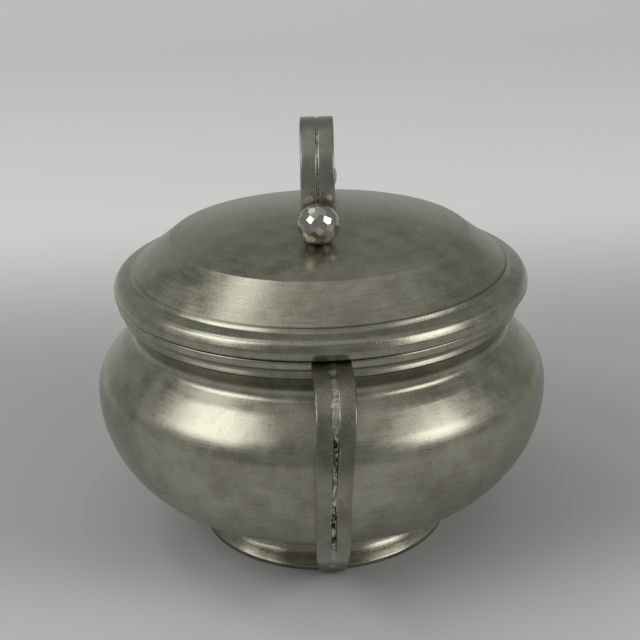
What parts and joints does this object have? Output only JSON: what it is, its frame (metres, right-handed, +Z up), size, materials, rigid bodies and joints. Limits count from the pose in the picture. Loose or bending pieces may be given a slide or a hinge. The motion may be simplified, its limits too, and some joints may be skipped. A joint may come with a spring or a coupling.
{
  "type": "covered sugar bowl",
  "caption": "Round pewter sugar bowl on a flared foot, with two double-strap ear handles and a loose lid that carries a strap loop with a ball at each foot",
  "frame": {"origin": "on the table, at the centre of the foot ring", "axes": "+Z up; the two handles lie on the Y axis, the front one towards -Y; +X to the right seen from the front"},
  "size_m": [0.1242, 0.1574, 0.1155],
  "materials": {
    "spun_pewter": "spun pewter with fine turning lines, softly worn",
    "turned_pewter": "turned and burnished pewter",
    "strap_pewter": "hand-worked pewter strap",
    "ball_pewter": "planished and polished pewter",
    "solder": "uneven pewter solder"
  },
  "bodies": {
    "bowl": {"bowl_shell": "spun_pewter", "mouth_ring": "turned_pewter", "foot_ring": "turned_pewter", "handle_front_left_strap": "strap_pewter", "handle_front_right_strap": "strap_pewter", "handle_front_solder_seam": "solder", "handle_back_left_strap": "strap_pewter", "handle_back_right_strap": "strap_pewter", "handle_back_solder_seam": "solder"},
    "lid": {"lid_shell": "spun_pewter", "lid_rim_bead": "turned_pewter", "lid_flange": "turned_pewter", "loop_left_strap": "strap_pewter", "loop_right_strap": "strap_pewter", "loop_solder_seam": "solder", "ball_front": "ball_pewter", "ball_rear": "ball_pewter"}
  },
  "joints": [
    {"name": "lid_lift", "type": "slide", "parent": "bowl", "child": "lid", "axis": [0, 0, 1], "range_m": [0, 0.06]}
  ]
}
